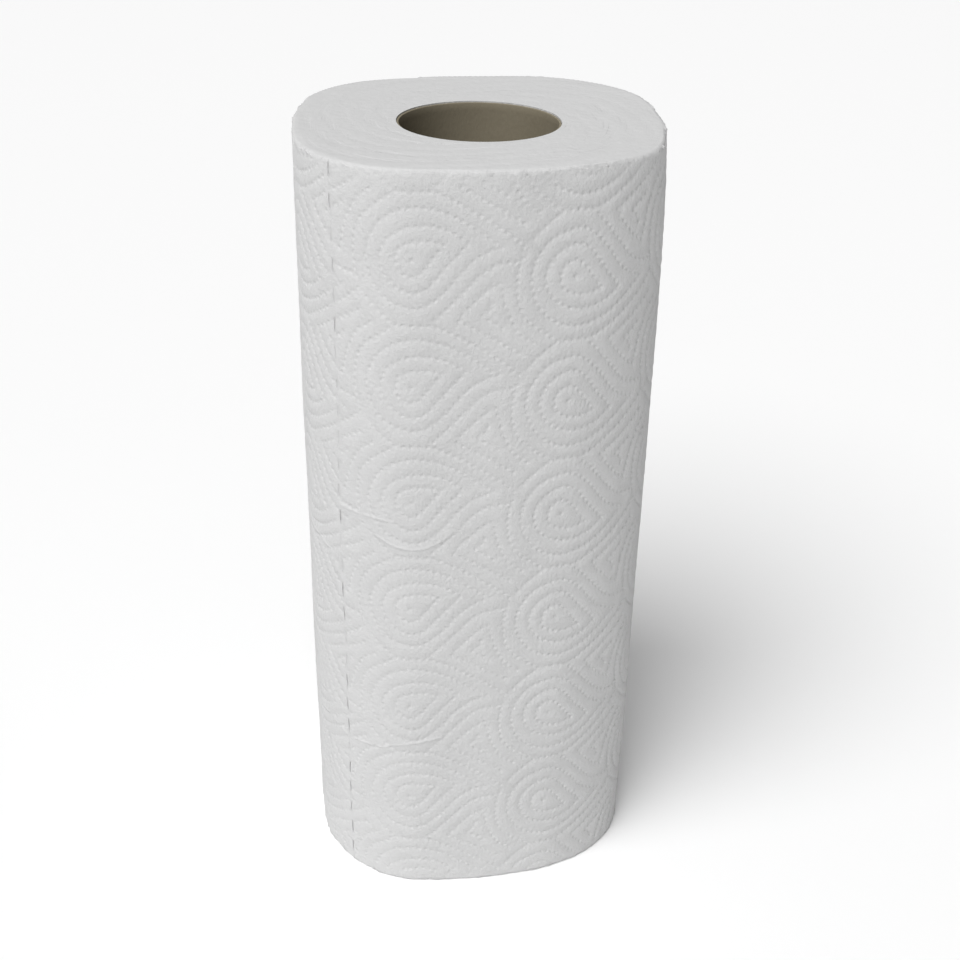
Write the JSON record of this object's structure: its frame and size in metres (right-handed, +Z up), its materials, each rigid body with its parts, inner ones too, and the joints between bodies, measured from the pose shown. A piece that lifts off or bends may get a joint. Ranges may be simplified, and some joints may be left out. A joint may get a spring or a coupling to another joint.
{
  "type": "paper towel roll",
  "caption": "Roll of white embossed kitchen paper wound on a cardboard tube, slightly squashed to a rounded square, standing on its end.",
  "frame": {"origin": "on the floor, under the middle of the wound paper's outline", "axes": "+Z up along the roll, -Y towards the side that the picture shows, with the perforated line at its left corner, +X to the right of that side"},
  "size_m": [0.1016, 0.1046, 0.23],
  "materials": {
    "kitchen_paper": "soft, matte, embossed",
    "core_board": "matte grey-brown board"
  },
  "bodies": {
    "root": {"paper_roll": "kitchen_paper", "cardboard_core": "core_board"}
  },
  "joints": []
}
